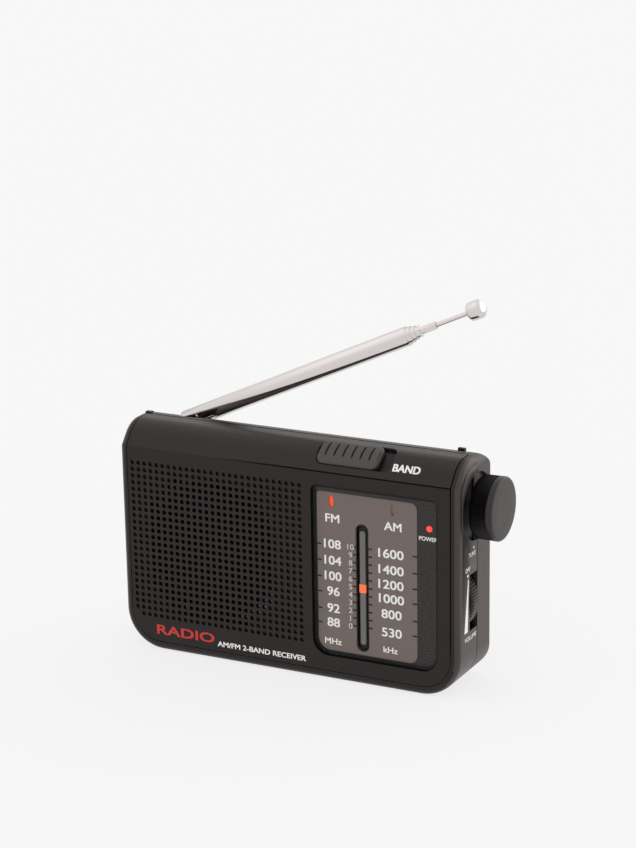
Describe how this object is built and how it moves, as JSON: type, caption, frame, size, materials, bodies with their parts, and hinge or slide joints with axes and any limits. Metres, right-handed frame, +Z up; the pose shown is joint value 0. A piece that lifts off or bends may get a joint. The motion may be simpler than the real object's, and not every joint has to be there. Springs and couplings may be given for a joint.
{
  "type": "pocket radio",
  "caption": "Pocket radio with a perforated speaker front, slide-rule dial, side tuning knob and volume wheel, band slider and a folding telescopic antenna.",
  "frame": {"origin": "middle of the flat bottom face", "axes": "+X towards the tuning knob (viewer's right), -Y towards the front, +Z up"},
  "size_m": [0.1261, 0.0254, 0.1206],
  "materials": {
    "case_plastic": "satin moulded ABS, charcoal",
    "back_plastic": "satin moulded ABS, warm dark grey",
    "black_plastic": "black moulded plastic",
    "knob_plastic": "knurled moulded plastic",
    "lens": "clear smoke-tinted acrylic",
    "scale_print": "printed plate with fine grain",
    "orange_plastic": "fluorescent orange moulding",
    "red_print": "red-orange flag",
    "led_red": "red diffused lamp",
    "white_plastic": "off-white acetal",
    "chrome": "bright plated brass tube",
    "steel": "plated steel",
    "magnet": "sintered ferrite and steel",
    "brass": "turned brass",
    "cloth": "thin woven dust cloth",
    "paper": "pressed speaker paper",
    "rubber": "thin drive belt",
    "board": "phenolic circuit board",
    "can_blue": "blue sleeve",
    "copper": "enamelled copper winding",
    "cell_sleeve": "printed cell sleeve"
  },
  "bodies": {
    "case": {"front_shell": "case_plastic", "front_panel": "case_plastic", "grille_screen": "cloth", "dial_lens": "lens", "scale_plate": "scale_print", "pointer_track": "white_plastic", "pointer_rod": "steel", "pointer_belt": "rubber", "idler_pin": "steel", "dial_frame": "steel", "power_led": "led_red", "band_switch": "steel", "shaft_bearing": "white_plastic", "tuning_capacitor": "white_plastic", "volume_pot": "board", "speaker_basket": "steel", "speaker_cone": "paper", "speaker_magnet": "magnet", "speaker_clips": "steel", "circuit_board": "board", "if_cans": "steel", "electrolytics": "can_blue", "amplifier_chip": "black_plastic", "ferrite_rod": "magnet", "ferrite_coil": "copper", "rod_holders": "white_plastic", "earphone_jack": "black_plastic", "rear_cover": "back_plastic", "battery_cells": "cell_sleeve", "battery_spring": "steel", "battery_contact": "steel", "antenna_rest": "black_plastic", "strap_lug": "black_plastic", "case_screws": "steel", "board_screws": "steel"},
    "tuner": {"tune_knob": "knob_plastic", "tune_shaft": "steel", "tune_pinion": "brass", "belt_pulley": "white_plastic"},
    "pointer_unit": {"pointer": "orange_plastic", "pointer_carriage": "white_plastic"},
    "capacitor_rotor": {"capacitor_gear": "white_plastic", "capacitor_spindle": "brass"},
    "idler": {"idler_pulley": "white_plastic"},
    "volume_control": {"volume_wheel": "knob_plastic", "volume_spindle": "steel"},
    "band_control": {"band_slider": "case_plastic", "band_flag": "black_plastic", "band_flag_marks": "red_print"},
    "door": {"battery_door": "back_plastic"},
    "antenna_swivel_base": {"antenna_post": "chrome", "antenna_washer": "brass"},
    "antenna_mast": {"antenna_outer": "chrome", "antenna_pin": "chrome"},
    "antenna_section_2": {"antenna_tube_2": "chrome"},
    "antenna_section_3": {"antenna_tube_3": "chrome"},
    "antenna_section_4": {"antenna_tube_4": "chrome"},
    "antenna_section_5": {"antenna_tube_5": "chrome"},
    "antenna_section_6": {"antenna_rod": "chrome", "antenna_tip": "chrome"}
  },
  "joints": [
    {"name": "tune_turn", "type": "hinge", "parent": "case", "child": "tuner", "pos_m": [0.059, 0.0014, 0.05865], "axis": [-1, 0, 0], "range_deg": [-270, 270]},
    {"name": "pointer_slide", "type": "slide", "parent": "case", "child": "pointer_unit", "axis": [0, 0, 1], "range_m": [-0.0132, 0.0132]},
    {"name": "capacitor_turn", "type": "hinge", "parent": "case", "child": "capacitor_rotor", "pos_m": [0.034, -0.002, 0.05032], "axis": [-1, 0, 0], "range_deg": [-90, 90]},
    {"name": "idler_turn", "type": "hinge", "parent": "case", "child": "idler", "pos_m": [0.0259, 0.0002, 0.0212], "axis": [-1, 0, 0], "range_deg": [-473, 473]},
    {"name": "volume_turn", "type": "hinge", "parent": "case", "child": "volume_control", "pos_m": [0.0489, -0.0016, 0.0292], "axis": [0, 1, 0], "range_deg": [-135, 135]},
    {"name": "band_slide", "type": "slide", "parent": "case", "child": "band_control", "axis": [1, 0, 0], "range_m": [0, 0.004]},
    {"name": "door_hinge", "type": "hinge", "parent": "case", "child": "door", "pos_m": [0, 0.012, 0.00425], "axis": [-1, 0, 0], "range_deg": [0, 90]},
    {"name": "antenna_swivel", "type": "hinge", "parent": "case", "child": "antenna_swivel_base", "pos_m": [-0.0416, 0.0093, 0.0665], "axis": [0, 0, 1], "range_deg": [0, 90]},
    {"name": "antenna_tilt", "type": "hinge", "parent": "antenna_swivel_base", "child": "antenna_mast", "pos_m": [-0.0416, 0.0093, 0.07355], "axis": [0, -1, 0], "range_deg": [-24.35, 65.65]},
    {"name": "antenna_slide_2", "type": "slide", "parent": "antenna_mast", "child": "antenna_section_2", "axis": [0.911, 0, 0.4123], "range_m": [0, 0.06]},
    {"name": "antenna_slide_3", "type": "slide", "parent": "antenna_section_2", "child": "antenna_section_3", "axis": [0.911, 0, 0.4123], "range_m": [0, 0.06]},
    {"name": "antenna_slide_4", "type": "slide", "parent": "antenna_section_3", "child": "antenna_section_4", "axis": [0.911, 0, 0.4123], "range_m": [0, 0.06]},
    {"name": "antenna_slide_5", "type": "slide", "parent": "antenna_section_4", "child": "antenna_section_5", "axis": [0.911, 0, 0.4123], "range_m": [-0.0046, 0.056]},
    {"name": "antenna_slide_6", "type": "slide", "parent": "antenna_section_5", "child": "antenna_section_6", "axis": [0.911, 0, 0.4123], "range_m": [-0.0098, 0.055]}
  ],
  "couplings": [
    {"joint": "pointer_slide", "follows": "tune_turn", "m_per_rad": 0.0028},
    {"joint": "capacitor_turn", "follows": "tune_turn", "ratio": -0.33333},
    {"joint": "idler_turn", "follows": "tune_turn", "ratio": 1.75}
  ]
}
